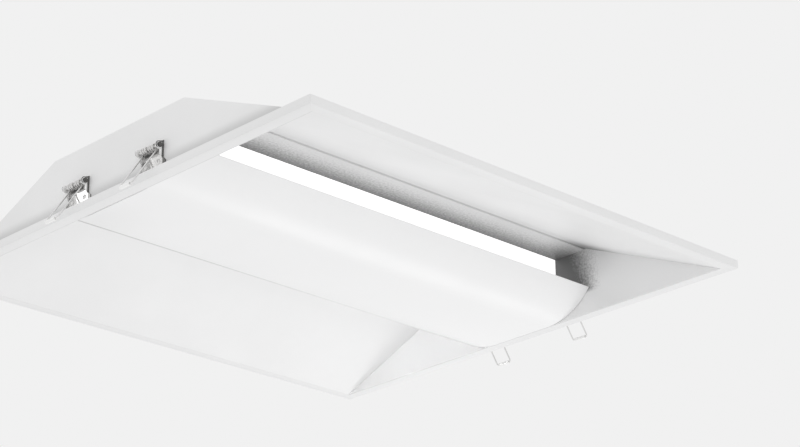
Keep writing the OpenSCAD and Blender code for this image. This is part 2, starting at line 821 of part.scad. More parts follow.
module panel_band(outer_r, inner_r) {
    reach = 3 * outer_r;
    for (side = [0, 1]) mirror([side, 0]) translate([panel_axis_y, panel_axis_z])
        intersection() {
            difference() {
                circle(r = outer_r, $fn = 180);
                circle(r = inner_r, $fn = 180);
            }
            polygon([
                [0, 0], [0, -reach],
                [reach * sin(panel_edge_a / 2), -reach * cos(panel_edge_a / 2)],
                [reach * sin(panel_edge_a), -reach * cos(panel_edge_a)]
            ]);
        }
    translate([-panel_axis_y, panel_axis_z - outer_r]) square([2 * panel_axis_y, outer_r - inner_r]);
}

module centre_panel() {
    color(white_paint) along_x(2 * panel_half_l) panel_band(panel_r, panel_in_r);
}

// The space above the panel's sheet, up to a height
module above_panel(top) {
    difference() {
        translate([-rib_l / 2, face_z]) square([rib_l, top - face_z]);
        difference() {
            translate([-rib_l, face_z - panel_r]) square([2 * rib_l, 3 * panel_r]);
            union() {
                translate([-panel_axis_y, face_z + panel_t + lap_gap])
                    square([2 * panel_axis_y, 3 * panel_r]);
                for (side = [-1, 1]) translate([side * panel_axis_y, panel_axis_z])
                    circle(r = panel_in_r - lap_gap, $fn = 180);
            }
        }
    }
}

module panel_ribs() {
    color(bare_zinc) for (x = [-1, 1]) translate([x * post_dx / 2, 0, 0]) difference() {
        along_x(rib_w) above_panel(rib_z);
        translate([-rib_w / 2 + rib_t, -rib_l, face_z - cut_over])
            cube([rib_w - 2 * rib_t, 2 * rib_l, rib_h - rib_t + cut_over]);
        for (y = [-1, 1]) translate([0, y * post_dy / 2, rib_z]) bore(screw_d, 4 * rib_t);
    }
}

module panel_posts() {
    color(raw_alloy) for (p = posts) translate([p[0], p[1], rib_z]) difference() {
        union() {
            cylinder(h = shoulder_z - rib_z, d = shoulder_d);
            cylinder(h = post_head_z - rib_z + post_head_t, d = post_d);
            translate([0, 0, post_head_z - rib_z]) cylinder(h = post_head_t, d = post_head_d);
        }
        translate([0, 0, -cut_over])
            cylinder(h = post_tap_depth + cut_over, d = screw_d + 2 * hole_air);
    }
}

module post_screws() {
    color(bare_zinc) for (p = posts) translate([p[0], p[1], rib_z - rib_t]) pan_screw(7);
}

// Spring clips

module clip_place(side) {
    turn = side[0] < 0 ? 180 : 0;
    translate([side[0] * (plate_out + pin_out), side[1] * clip_y, face_z + pin_h])
        rotate([0, 0, turn]) children();
}

module ear_outline(top) {
    difference() {
        union() {
            circle(r = ear_r);
            polygon([
                [ear_root_x, top], [0, ear_r], [0, -ear_r], [ear_root_x + flange_depth, -ear_r],
                [ear_root_x + flange_depth, -flange_drop], [ear_root_x, -flange_drop - flange_depth]
            ]);
        }
        circle(d = pin_d + 2 * pin_air);
    }
}

module clip_bracket(side) {
    top = bracket_top - pin_h;
    foot_top = bracket_foot_z + 4.5;
    color(bright_nickel) clip_place(side) difference() {
        union() {
            translate([ear_root_x + bracket_t / 2, 0, 0])
                along_x(bracket_t) polygon([
                    [-foot_w / 2, bracket_foot_z], [foot_w / 2, bracket_foot_z],
                    [foot_w / 2, foot_top], [ear_out, foot_top + (foot_w - bracket_w) / 2],
                    [ear_out, top], [-ear_out, top],
                    [-ear_out, foot_top + (foot_w - bracket_w) / 2], [-foot_w / 2, foot_top]
                ]);
            for (y = [-ear_out, ear_in]) translate([0, y + ear_t, 0]) rotate([90, 0, 0])
                linear_extrude(ear_t) ear_outline(top);
        }
        for (y = [-1, 1]) translate([clip_plate_x, y * bracket_rivet_y, bracket_rivet_z])
            rotate([0, 90, 0]) bore(rivet_d, 4 * bracket_t);
    }
}

module clip_pin(side) {
    head = 1.2;
    length = 2 * ear_out + 0.6;
    color(bright_nickel) clip_place(side) rotate([90, 0, 0]) {
        cylinder(h = length, d = pin_d, center = true);
        for (end = [-1, 1]) translate([0, 0, end * (length + head) / 2])
            cylinder(h = head, d = pin_d + 1.8, center = true);
    }
}

// Half of the spring's wire, from its tail round the coil and along the leg
out_dir = [cos(arm_rest), 0, -sin(arm_rest)];
leg_start = [coil_r * cos(coil_end_a), leg_y, coil_r * sin(coil_end_a)];
corner_start = leg_start + (arm_l - arm_bend_r) * out_dir;
half_spring = concat(
    [[-tail_l, tail_y, -coil_r]],
    [
        for (i = [0:coil_steps])
            let (a = coil_start_a + (coil_end_a - coil_start_a) * i / coil_steps)
                [coil_r * cos(a), tail_y + coil_rise * i / coil_steps, coil_r * sin(a)]
    ],
    [
        for (i = [0:corner_steps])
            let (a = 90 * i / corner_steps)
                corner_start + arm_bend_r * sin(a) * out_dir - [0, arm_bend_r * (1 - cos(a)), 0]
    ]
);
spring_path = concat(
    half_spring,
    [for (i = [len(half_spring) - 1:-1:0]) [half_spring[i][0], -half_spring[i][1], half_spring[i][2]]]
);

// The least gap between coils, between points more than half a turn apart
half_turn = ceil(rings_per_turn / 2);
spring_gap = min([
    for (i = [0:len(spring_path) - 1])
        for (j = [i + half_turn + 1:1:len(spring_path) - 1])
            norm(spring_path[i] - spring_path[j])
]) - spring_d;
echo(least_gap_of_spring_to_itself_mm = spring_gap);

module clip_spring(side) {
    color(bright_nickel) clip_place(side) tube(spring_path, spring_d, wire_sides, [0, 1, 0]);
}

module clip_sleeve(side) {
    length = arm_w - 2 * arm_bend_r - 0.3;
    centre = corner_start + arm_bend_r * out_dir;
    color("white") clip_place(side) translate([centre[0], 0, centre[2]]) rotate([90, 0, 0])
        difference() {
            cylinder(h = length, d = sleeve_d, center = true);
            cylinder(h = length + 2 * cut_over, d = spring_d + 2 * sleeve_bore_air, center = true);
        }
}

module clip_rivets() {
    grip = sheet_t + bracket_t + lap_gap / 2;
    color(bright_nickel) for (side = clips) clip_place(side) for (y = [-1, 1])
        translate([clip_plate_x - sheet_t, y * bracket_rivet_y, bracket_rivet_z])
            rotate([0, 90, 0]) blind_rivet(grip, clip_rivet_head_d, clip_rivet_head_t);
}

trim_rail(0, side_screw_x);  // trim_rail_front
trim_rail(90, end_screw_y);  // trim_rail_right
trim_rail(180, side_screw_x);  // trim_rail_back
trim_rail(270, end_screw_y);  // trim_rail_left
corner_keys();
trim_screws();
housing_top();
side_reflector(180);  // side_reflector_front
side_reflector(0);  // side_reflector_back
end_plate(180);  // end_plate_left
end_plate(0);  // end_plate_right
joint_strips();
end_plate_rivets();
led_carrier(180);  // led_carrier_front
led_carrier(0);  // led_carrier_back
carrier_rivets();
led_board(180);  // led_board_front
led_board(0);  // led_board_back
led_emitters();
light_strip(180);  // light_strip_front
light_strip(0);  // light_strip_back
gear_tray();
tray_screws();
post_bushes();
driver_case();
driver_lid();
driver_board();
driver_screws();
terminal_block();
terminal_screws();
cable_grommet();
cable_clamp();
earth_stud();
mains_wiring();
light_wiring();
centre_panel();
panel_ribs();
panel_posts();
post_screws();
clip_bracket(clips[0]);  // clip_bracket_1
clip_bracket(clips[1]);  // clip_bracket_2
clip_bracket(clips[2]);  // clip_bracket_3
clip_bracket(clips[3]);  // clip_bracket_4
clip_spring(clips[0]);  // clip_spring_1
clip_spring(clips[1]);  // clip_spring_2
clip_spring(clips[2]);  // clip_spring_3
clip_spring(clips[3]);  // clip_spring_4
clip_pin(clips[0]);  // clip_pin_1
clip_pin(clips[1]);  // clip_pin_2
clip_pin(clips[2]);  // clip_pin_3
clip_pin(clips[3]);  // clip_pin_4
clip_sleeve(clips[0]);  // clip_sleeve_1
clip_sleeve(clips[1]);  // clip_sleeve_2
clip_sleeve(clips[2]);  // clip_sleeve_3
clip_sleeve(clips[3]);  // clip_sleeve_4
clip_rivets();
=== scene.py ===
import math
from functools import partial

import bpy
import numpy as np
from mathutils import Matrix, Vector


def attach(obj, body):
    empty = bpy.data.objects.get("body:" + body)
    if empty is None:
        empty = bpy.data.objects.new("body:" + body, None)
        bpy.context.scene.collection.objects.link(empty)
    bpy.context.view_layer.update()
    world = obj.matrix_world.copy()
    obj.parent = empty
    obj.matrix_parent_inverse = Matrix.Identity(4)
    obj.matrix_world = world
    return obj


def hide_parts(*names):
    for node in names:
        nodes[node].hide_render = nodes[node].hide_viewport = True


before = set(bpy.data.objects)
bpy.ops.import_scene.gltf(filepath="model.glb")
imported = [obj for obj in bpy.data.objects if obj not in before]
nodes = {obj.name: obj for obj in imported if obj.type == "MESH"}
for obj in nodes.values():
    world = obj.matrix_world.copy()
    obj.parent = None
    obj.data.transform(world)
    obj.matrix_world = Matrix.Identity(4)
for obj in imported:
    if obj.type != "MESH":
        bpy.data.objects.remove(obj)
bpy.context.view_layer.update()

clipNumbers = (1, 2, 3, 4)
print("frame loaded:", len(nodes), "nodes")

# Camera, at the photograph's viewing angle
cameraView = {
    "place": (-1.56417, -1.72589, -0.90313),
    "heading": 46.0765,   # degrees from +X towards +Y
    "rise": 22.2234,      # degrees above the horizon
    "roll": -0.4734,
    "lens": 106.87,       # mm, on a sensor of the width below
    "sensor": 36,
    "clip": (0.01, 100),
}


def placeCamera(view):
    # ahead follows from heading and rise; right and up are square to it, and both turn about it by the roll
    heading, rise, roll = (math.radians(view[k]) for k in ("heading", "rise", "roll"))
    ahead = Vector((math.cos(heading) * math.cos(rise), math.sin(heading) * math.cos(rise), math.sin(rise)))
    right = ahead.cross(Vector((0, 0, 1))).normalized()
    up = right.cross(ahead)
    side = math.cos(roll) * right + math.sin(roll) * up
    top = math.cos(roll) * up - math.sin(roll) * right
    turn = Matrix((side, top, -ahead)).transposed()
    data = bpy.data.cameras.new("camera")
    data.sensor_width, data.lens = view["sensor"], view["lens"]
    data.clip_start, data.clip_end = view["clip"]
    camera = bpy.data.objects.new("camera", data)
    camera.matrix_world = Matrix.Translation(view["place"]) @ turn.to_4x4()
    bpy.context.scene.collection.objects.link(camera)
    bpy.context.scene.camera = camera


placeCamera(cameraView)
print("camera placed")

sharpAngle = 32   # degrees: an edge that turns more than this stays crisp


def gridFaces(rows, cols, closeRows=False, closeCols=False):
    # quad (i, j), (i, j+1), (i+1, j+1), (i+1, j) for every cell, wrapping round where a direction is closed
    rowStarts = np.arange(rows if closeRows else rows - 1)
    colStarts = np.arange(cols if closeCols else cols - 1)
    i, j = np.meshgrid(rowStarts, colStarts, indexing="ij")
    i2, j2 = (i + 1) % rows, (j + 1) % cols
    return np.stack([i * cols + j, i * cols + j2, i2 * cols + j2, i2 * cols + j], axis=-1).reshape(-1, 4)


def signedVolume(points, faces):
    # a sixth of the sum of a . (b x c) over a fan of triangles from each face's first corner
    total = 0.0
    for size in {len(f) for f in faces}:
        corners = points[np.array([f for f in faces if len(f) == size])]
        for k in range(1, size - 1):
            total += np.einsum("ij,ij->i", corners[:, 0], np.cross(corners[:, k], corners[:, k + 1])).sum() / 6
    return total


def addPiece(name, points, faces, material, body, replaced):
    # a closed mesh, with its faces turned outwards where their volume comes out negative
    points = np.asarray(points, dtype=float).reshape(-1, 3)
    faces = [tuple(int(v) for v in f) for f in faces]
    if signedVolume(points, faces) < 0:
        faces = [f[::-1] for f in faces]
    mesh = bpy.data.meshes.new(name)
    mesh.from_pydata(points.tolist(), [], faces)
    mesh.polygons.foreach_set("use_smooth", np.ones(len(faces), dtype=bool))
    mesh.set_sharp_from_angle(angle=math.radians(sharpAngle))
    mesh.materials.append(material)
    mesh.validate()
    piece = bpy.data.objects.new(name, mesh)
    bpy.context.scene.collection.objects.link(piece)
    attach(piece, body)
    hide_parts(*replaced)


def roundedOutline(corners, radii, steps=4):
    # each corner becomes an arc: its centre lies on the bisector, and the angle runs evenly from side to side
    corners, radii = np.asarray(corners, dtype=float), np.asarray(radii, dtype=float)
    back = np.roll(corners, 1, axis=0) - corners
    ahead = np.roll(corners, -1, axis=0) - corners
    back /= np.linalg.norm(back, axis=1, keepdims=True)
    ahead /= np.linalg.norm(ahead, axis=1, keepdims=True)
    half = np.arccos(np.clip((back * ahead).sum(axis=1), -1, 1)) / 2
    bisector = back + ahead
    bisector /= np.linalg.norm(bisector, axis=1, keepdims=True)
    centres = corners + bisector * (radii / np.sin(half))[:, None]
    start = corners + back * (radii / np.tan(half))[:, None] - centres
    end = corners + ahead * (radii / np.tan(half))[:, None] - centres
    sweep = (np.pi - 2 * half)[:, None, None]
    t = np.linspace(0, 1, steps + 1)[None, :, None]
    arcs = (np.sin((1 - t) * sweep) * start[:, None] + np.sin(t * sweep) * end[:, None]) / np.sin(sweep)
    return (centres[:, None] + arcs).reshape(-1, 2)


def tubeGrid(path, normals, radius, sides):
    # ring k lies at path + radius * (cos(a) * normal + sin(a) * (tangent x normal)), a going once round
    tangents = np.gradient(path, axis=0)
    tangents /= np.linalg.norm(tangents, axis=1, keepdims=True)
    normals = normals - (normals * tangents).sum(axis=1, keepdims=True) * tangents
    normals /= np.linalg.norm(normals, axis=1, keepdims=True)
    sideways = np.cross(tangents, normals)
    a = np.linspace(0, 2 * np.pi, sides, endpoint=False)[None, :, None]
    return path[:, None] + radius * (np.cos(a) * normals[:, None] + np.sin(a) * sideways[:, None])


def tubeFaces(rings, sides):
    # the quads between the rings, and a flat cap on the first and the last ring
    last = (rings - 1) * sides
    return [*gridFaces(rings, sides, closeCols=True), range(sides - 1, -1, -1), range(last, last + sides)]


# Shader nodes, each made and fed in one call
def link(tree, source, target):
    tree.links.new(source, target)


def feed(tree, socket, value):
    # a number or a colour is set on the socket, an output of another node is linked to it
    if isinstance(value, (int, float)):
        socket.default_value = value
    elif isinstance(value, tuple):
        socket.default_value = (*value, 1)
    else:
        link(tree, value, socket)


def mathNode(tree, operation, *values, clamp=False):
    node = tree.nodes.new("ShaderNodeMath")
    node.operation = operation
    node.use_clamp = clamp
    for socket, value in zip(node.inputs, values):
        feed(tree, socket, value)
    return node.outputs[0]


def smoothRange(tree, value, start, end):
    # 0 at start, 1 at end, easing in and out between
    node = tree.nodes.new("ShaderNodeMapRange")
    node.interpolation_type = "SMOOTHSTEP"
    for title, entry in (("Value", value), ("From Min", start), ("From Max", end)):
        feed(tree, node.inputs[title], entry)
    return node.outputs["Result"]


noiseSpan = (0.3, 0.7)   # most values of a noise lie between these


def mappedRange(tree, value, low=0.0, high=1.0):
    # low where the noise's span starts, high where it ends, and straight between
    node = tree.nodes.new("ShaderNodeMapRange")
    titles = ("Value", "From Min", "From Max", "To Min", "To Max")
    for title, entry in zip(titles, (value, *noiseSpan, low, high)):
        feed(tree, node.inputs[title], entry)
    return node.outputs["Result"]


def noiseNode(tree, place, scale, detail, roughness=0.5):
    node = tree.nodes.new("ShaderNodeTexNoise")
    for title, entry in (("Vector", place), ("Scale", scale), ("Detail", detail), ("Roughness", roughness)):
        feed(tree, node.inputs[title], entry)
    return node.outputs["Fac"]


def mixColour(tree, factor, first, second):
    node = tree.nodes.new("ShaderNodeMix")
    node.data_type = "RGBA"
    for place, entry in ((0, factor), (6, first), (7, second)):   # where the factor and the two colours stand
        feed(tree, node.inputs[place], entry)
    return node.outputs[2]


def objectPlace(tree):
    return tree.nodes.new("ShaderNodeTexCoord").outputs["Object"]


def axes(tree, vector):
    # the x, y and z of a vector
    split = tree.nodes.new("ShaderNodeSeparateXYZ")
    link(tree, vector, split.inputs[0])
    return tuple(split.outputs)


# Shader groups: each puts out masks or heights that change over the surface
def newGroup(name, inputs, outputs):
    # every socket holds one number, and an input comes with its usual value
    group = bpy.data.node_groups.new(name, "ShaderNodeTree")
    for title, value in inputs.items():
        group.interface.new_socket(title, in_out="INPUT", socket_type="NodeSocketFloat").default_value = value
    for title in outputs:
        group.interface.new_socket(title, in_out="OUTPUT", socket_type="NodeSocketFloat")
    return group, group.nodes.new("NodeGroupInput").outputs, group.nodes.new("NodeGroupOutput").inputs


orangePeel = {"rippleScale": 0.22, "rippleHeight": 0.6}   # the ripple, as shares of the fine grain


def powderGrainGroup(peel):
    # height: fine orange peel on a broader ripple; tint: a faint cloudy change of value
    group, given, out = newGroup("powderGrain", {"Scale": 900.0, "Cloud": 9.0}, ("Height", "Tint"))
    place = objectPlace(group)
    fine = noiseNode(group, place, given["Scale"], detail=3)
    broadScale = mathNode(group, "MULTIPLY", given["Scale"], peel["rippleScale"])
    broad = noiseNode(group, place, broadScale, detail=1)
    link(group, mathNode(group, "MULTIPLY_ADD", broad, peel["rippleHeight"], fine), out["Height"])
    link(group, noiseNode(group, place, given["Cloud"], detail=3), out["Tint"])
    return group


recessShade = {
    "tiltTop": 0.045,           # at this height the near limit is as given, and the tilt moves it from there
    "grain": 420.0,
    "ends": (0.232, 0.287),     # along the light: where the corners' shade begins and where it is full
    "wall": (0.2867, 0.2863),   # along the light: just outside and just inside an end wall's inner face
    "foot": (0.022, 0.007),     # heights between which an end wall's outer face goes down behind the trim
    "facingUp": 0.5,            # a face whose normal rises more than this gets none of the painted shade
}


def paintedRecessShadeGroup(shade):
    # painted shade. Inside the walls: the screen of a mask that is 1 beside the light strips, deep in the recess, and
    # falls to 0
    # outwards and downwards, and of one that grows towards the end walls beside the crease of the sheets; outside
    # them:
    # a mask of painted shadow at the foot of the wall, behind the trim; each is a product of smooth steps in x, y and
    # z
    group, given, out = newGroup("paintedRecessShade", {
        "Near": 0.058, "Far": 0.104, "Low": 0.014, "High": 0.03, "CornerShare": 0.0, "CornerNear": 0.112,
        "CornerFar": 0.165, "FootShare": 0.0, "Share": 1.0, "Grain": 0.028, "Tilt": 0.0}, ("Mask",))
    calc, ease = partial(mathNode, group), partial(smoothRange, group)
    x, y, z = axes(group, objectPlace(group))
    along, across = calc("ABSOLUTE", x), calc("ABSOLUTE", y)
    grain = noiseNode(group, objectPlace(group), shade["grain"], detail=4)
    shifted = calc("ADD", across, calc("MULTIPLY", calc("SUBTRACT", grain, 0.5), given["Grain"]))
    near = calc("MULTIPLY_ADD", calc("SUBTRACT", shade["tiltTop"], z), given["Tilt"], given["Near"])
    depth = calc("MULTIPLY", ease(shifted, given["Far"], near), ease(z, given["Low"], given["High"]))
    beside = calc("MULTIPLY", depth, given["Share"])
    endward = calc("MULTIPLY", ease(along, *shade["ends"]), given["CornerShare"])
    corner = calc("MULTIPLY", endward, ease(shifted, given["CornerFar"], given["CornerNear"]))
    both = calc("SUBTRACT", calc("ADD", beside, corner), calc("MULTIPLY", beside, corner))
    inside = ease(along, *shade["wall"])
    foot = calc("MULTIPLY", ease(z, *shade["foot"]), given["FootShare"])
    outside = calc("MULTIPLY", calc("SUBTRACT", 1.0, inside), foot)
    shaded = calc("ADD", calc("MULTIPLY", both, inside), outside)
    normal = group.nodes.new("ShaderNodeNewGeometry").outputs["True Normal"]
    notUp = calc("LESS_THAN", axes(group, normal)[2], shade["facingUp"])
    link(group, calc("MULTIPLY", shaded, notUp), out["Mask"])
    return group


panelRim = {
    "bandEnd": (0.098, 0.084),        # across: where the band is gone on its far side, and where it is full
    "leftEnd": -0.286,
    "bandShares": (0.4, 0.1),         # what the left end adds, and what is there all along
    "cornerAlong": (-0.2, -0.284),
    "cornerAcross": (-0.03, 0.06),
    "cornerShare": 0.075,
}


def rimShadeGroup(rim):
    # painted shade: a narrow band along the back curve of the panel, which fades from its left end towards the right,
    # and a broad faint painted shade over the panel's back left corner; both are products of smooth steps in x and y
    group, given, out = newGroup("rimShade", {"Start": 0.064, "End": 0.07, "Fade": 0.2}, ("Mask",))
    calc, ease = partial(mathNode, group), partial(smoothRange, group)
    x, y = axes(group, objectPlace(group))[:2]
    line = calc("MULTIPLY", ease(y, given["Start"], given["End"]), ease(y, *rim["bandEnd"]))
    fading = ease(x, given["Fade"], rim["leftEnd"])
    band = calc("MULTIPLY", line, calc("MULTIPLY_ADD", fading, *rim["bandShares"]))
    corner = calc("MULTIPLY", ease(x, *rim["cornerAlong"]), ease(y, *rim["cornerAcross"]))
    link(group, calc("MULTIPLY_ADD", corner, rim["cornerShare"], band), out["Mask"])
    return group


def rolledStreaksGroup():
    # streaks: noise squeezed in y and z, so that it reads as rolling or drawing marks along x; blotch: plain noise
    group, given, out = newGroup("rolledStreaks", {"Scale": 60.0, "Stretch": 14.0}, ("Streaks", "Blotch"))
    place = objectPlace(group)
    stretch = group.nodes.new("ShaderNodeCombineXYZ")
    for socket, entry in zip(stretch.inputs, (1.0, given["Stretch"], given["Stretch"])):
        feed(group, socket, entry)
    mapping = group.nodes.new("ShaderNodeMapping")
    link(group, place, mapping.inputs["Vector"])
    link(group, stretch.outputs[0], mapping.inputs["Scale"])
    link(group, noiseNode(group, mapping.outputs[0], given["Scale"], detail=4, roughness=0.65), out["Streaks"])
    link(group, noiseNode(group, place, 45.0, detail=5, roughness=0.6), out["Blotch"])
    return group


clipMarks = {
    "ear": (0.0011, 0.0022),              # off the wall: where the plate ends and an ear begins
    "fold": (0.0031, 0.0021),             # off the wall: the band of painted shade at an ear's fold
    "rimWidth": 0.0005,
    "rimFoot": (-0.0036, -0.0026),        # heights from the pin, as in the next two
    # the strip of painted shadow on the plate under the coil
    "stripLow": (-0.006, -0.0046),
    "stripHigh": (-0.0005, -0.0025),
    "stripLeft": (-0.0085, -0.006),       # sideways from the clip's middle
    "stripRight": (0.0135, 0.0115),
    "stripShare": 0.85,
    # a painted dark reflection on one lower corner of the plate
    "darkReflectionDown": (-0.0078, -0.0098),
    "darkReflectionSide": (0.001, 0.003),
    "darkReflectionFoot": 0.017,                   # depth below the pin from which the painted dark reflection's edge leans
    "darkReflectionLean": 0.38,
}


def foldedEdgeGroup(marks):
    # ears stand off the end wall; painted shade darkens the fold, the round rim and the plate's strip close under the
    # coil;
    # a painted dark reflection covers one lower corner of the plate, and outer is the side beyond the ears
    group, given, out = newGroup("foldedEdge", {
        "Wall": 0.2869, "Pin": 0.2925, "Height": 0.0267, "Across": 0.059, "Fold": 0.0155, "Rim": 0.0031},
        ("Ear", "Dark", "DarkReflection", "Outer"))
    calc, ease = partial(mathNode, group), partial(smoothRange, group)
    x, y, z = axes(group, objectPlace(group))
    along, across = calc("ABSOLUTE", x), calc("ABSOLUTE", y)
    off = calc("SUBTRACT", along, given["Wall"])
    upward = calc("SUBTRACT", z, given["Height"])
    ear = ease(off, *marks["ear"])
    # distance from the pin's axis, on the side away from the wall
    outward = calc("MAXIMUM", calc("SUBTRACT", along, given["Pin"]), 0.0)
    radius = calc("SQRT", calc("ADD", calc("MULTIPLY", outward, outward), calc("MULTIPLY", upward, upward)))
    rimEnd = calc("ADD", given["Rim"], marks["rimWidth"])
    rim = calc("MULTIPLY", ease(radius, given["Rim"], rimEnd), ease(upward, *marks["rimFoot"]))
    outer = calc("GREATER_THAN", calc("ABSOLUTE", calc("SUBTRACT", across, given["Across"])), given["Fold"])
    edges = calc("MULTIPLY", outer, calc("MAXIMUM", rim, ease(off, *marks["fold"])))
    # sideways from the clip's own middle, with its sign
    signed = calc("SUBTRACT", y, calc("MULTIPLY", calc("SIGN", y), given["Across"]))
    level = calc("MULTIPLY", ease(upward, *marks["stripLow"]), ease(upward, *marks["stripHigh"]))
    width = calc("MULTIPLY", ease(signed, *marks["stripLeft"]), ease(signed, *marks["stripRight"]))
    underCoil = calc("SUBTRACT", marks["stripShare"], ear, clamp=True)
    strip = calc("MULTIPLY", calc("MULTIPLY", level, width), underCoil)
    lean = calc("MULTIPLY", calc("ADD", upward, marks["darkReflectionFoot"]), marks["darkReflectionLean"])
    slanted = calc("SUBTRACT", signed, lean)
    darkReflection = calc("MULTIPLY", ease(slanted, *marks["darkReflectionSide"]), ease(upward, *marks["darkReflectionDown"]))
    onPlate = calc("SUBTRACT", 1.0, ear, clamp=True)
    link(group, ear, out["Ear"])
    link(group, calc("MAXIMUM", edges, strip), out["Dark"])
    link(group, calc("MULTIPLY", darkReflection, onPlate), out["DarkReflection"])
    link(group, outer, out["Outer"])
    return group


def mouldedGrainGroup():
    # height: the fine spark marks of a moulded surface; cloud: a broad change of value
    group, given, out = newGroup("mouldedGrain", {"Scale": 500.0}, ("Height", "Cloud"))
    place = objectPlace(group)
    link(group, noiseNode(group, place, given["Scale"], detail=3), out["Height"])
    link(group, noiseNode(group, place, 60.0, detail=2), out["Cloud"])
    return group


powderGrain = powderGrainGroup(orangePeel)
paintedRecessShade = paintedRecessShadeGroup(recessShade)
rimShade = rimShadeGroup(panelRim)
rolledStreaks = rolledStreaksGroup()
foldedEdge = foldedEdgeGroup(clipMarks)
mouldedGrain = mouldedGrainGroup()
print("shader groups made")

finish = {}   # every material by its name


def newMaterial(name, values):
    material = bpy.data.materials.new(name)
    material.use_nodes = True
    shader = material.node_tree.nodes["Principled BSDF"]
    for title, value in values.items():
        shader.inputs[title].default_value = value
    finish[name] = material
    return material.node_tree, shader


def placeGroup(tree, group, **values):
    node = tree.nodes.new("ShaderNodeGroup")
    node.node_tree = group
    for title, value in values.items():
        node.inputs[title].default_value = value
    return node.outputs


def addBump(tree, shader, height, strength, distance=0.0001):
    bump = tree.nodes.new("ShaderNodeBump")
    for title, entry in (("Strength", strength), ("Distance", distance), ("Height", height)):
        feed(tree, bump.inputs[title], entry)
    link(tree, bump.outputs["Normal"], shader.inputs["Normal"])


# White powder coat, for the trim, housing, reflectors and centre panel
whitePaint = {
    # the third colour is the painted shade that the masks mix in
    "colour": (0.866, 0.866, 0.867), "cloudy": (0.841, 0.841, 0.842), "paintedShade": (0.13, 0.13, 0.13),
    "rough": (0.42, 0.52), "grain": 900.0, "bump": (0.12, 0.0002),
}
# painted shade in a thin band along the crease of the reflector sheets
creaseShade = {"Near": 0.1018, "Far": 0.1035, "Low": 0.0, "High": 0.01, "Share": 0.16, "Grain": 0.0}
paints = {   # what differs from the white paint, then the mask of painted shade and its limits
    "trimPaint": ({}, None, {}),
    "topSheetPaint": ({}, paintedRecessShade, {"Near": 0.052, "Far": 0.096,
                                     "CornerShare": 0.58, "CornerNear": 0.07, "CornerFar": 0.124}),
    "endPlatePaint": ({"colour": (0.885, 0.885, 0.886), "cloudy": (0.86, 0.86, 0.861)}, paintedRecessShade,
                      {"Near": 0.081, "Far": 0.1225, "Low": 0.014, "High": 0.02, "FootShare": 0.3, "Tilt": 0.4}),
    "reflectorPaint": ({}, paintedRecessShade, {**creaseShade, "CornerShare": 0.72}),
    # the back reflector wears a lighter copy of the same white: painted light
    "backReflectorPaintedLight": ({"colour": (0.892, 0.892, 0.893), "cloudy": (0.868, 0.868, 0.869)}, paintedRecessShade, creaseShade),
    "panelPaint": ({"colour": (0.94, 0.94, 0.942), "cloudy": (0.925, 0.925, 0.927),
                    "rough": (0.3, 0.38), "grain": 1100.0}, rimShade, {"Fade": 0.2}),
}


def powderCoat(name, look, shading, limits):
    # cloudy white, which darkens towards the painted shade colour where the mask says; the bump is orange peel
    tree, shader = newMaterial(name, {"IOR": 1.45})
    grain = placeGroup(tree, powderGrain, Scale=look["grain"])
    colour = mixColour(tree, mappedRange(tree, grain["Tint"]), look["colour"], look["cloudy"])
    if shading:
        colour = mixColour(tree, placeGroup(tree, shading, **limits)["Mask"], colour, look["paintedShade"])
    link(tree, colour, shader.inputs["Base Color"])
    link(tree, mappedRange(tree, grain["Tint"], *look["rough"]), shader.inputs["Roughness"])
    addBump(tree, shader, grain["Height"], *look["bump"])


for name, (changes, shading, limits) in paints.items():
    powderCoat(name, {**whitePaint, **changes}, shading, limits)

# Metals
rolledMetals = {
    "zincSteel": {"colour": (0.62, 0.64, 0.66), "dull": (0.5, 0.52, 0.55), "rough": (0.28, 0.42),
                  "streaks": {"Scale": 60.0, "Stretch": 14.0}, "bump": 0.06},
    "rawAluminium": {"colour": (0.8, 0.81, 0.82), "dull": (0.7, 0.71, 0.72), "rough": (0.22, 0.38),
                     "streaks": {"Scale": 70.0, "Stretch": 30.0}, "bump": 0.06},
    "drawnWire": {"colour": (0.82, 0.815, 0.81), "dull": (0.7, 0.695, 0.69), "rough": (0.14, 0.24),
                  "streaks": {"Scale": 220.0, "Stretch": 4.0}, "bump": 0.03},
    "turnedBrass": {"colour": (0.62, 0.45, 0.18), "dull": (0.5, 0.36, 0.15), "rough": (0.2, 0.35),
                    "streaks": {"Scale": 200.0, "Stretch": 3.0}, "bump": 0.06},
}
brightNickel = {
    "colour": (0.8, 0.795, 0.79), "dull": (0.7, 0.695, 0.69), "head": (0.13, 0.128, 0.125),
    "rough": (0.14, 0.24), "streaks": {"Scale": 160.0, "Stretch": 5.0}, "bump": 0.03,
}
# the dark colour below is the painted shade at folds, rims and under the coil, and the plate's painted dark
# reflection
clipSteel = {
    "colour": (0.72, 0.715, 0.71), "dull": (0.58, 0.575, 0.57), "metal": 0.5,
    "ear": (0.95, 0.948, 0.945), "earMetal": 0.0, "paintedDark": (0.13, 0.128, 0.125), "darkReflectionShare": 0.75,
    "rough": (0.05, 0.09), "streaks": {"Scale": 160.0, "Stretch": 5.0}, "bump": 0.03,
}


def streakedMetal(name, values, look):
    # roughness and bump follow the streaks, and the face's colour goes from bright to dull with the blotches
    tree, shader = newMaterial(name, values)
    marks = placeGroup(tree, rolledStreaks, **look["streaks"])
    link(tree, mappedRange(tree, marks["Streaks"], *look["rough"]), shader.inputs["Roughness"])
    addBump(tree, shader, marks["Streaks"], look["bump"])
    return tree, shader, mixColour(tree, mappedRange(tree, marks["Blotch"]), look["colour"], look["dull"])


def rolledMetal(name, look):
    tree, shader, face = streakedMetal(name, {"Metallic": 1.0}, look)
    link(tree, face, shader.inputs["Base Color"])


def pinMetal(name, look):
    # a bright shaft with dull heads outside the ears
    tree, shader, shaft = streakedMetal(name, {"Metallic": 1.0}, look)
    outer = placeGroup(tree, foldedEdge)["Outer"]
    link(tree, mixColour(tree, outer, shaft, look["head"]), shader.inputs["Base Color"])


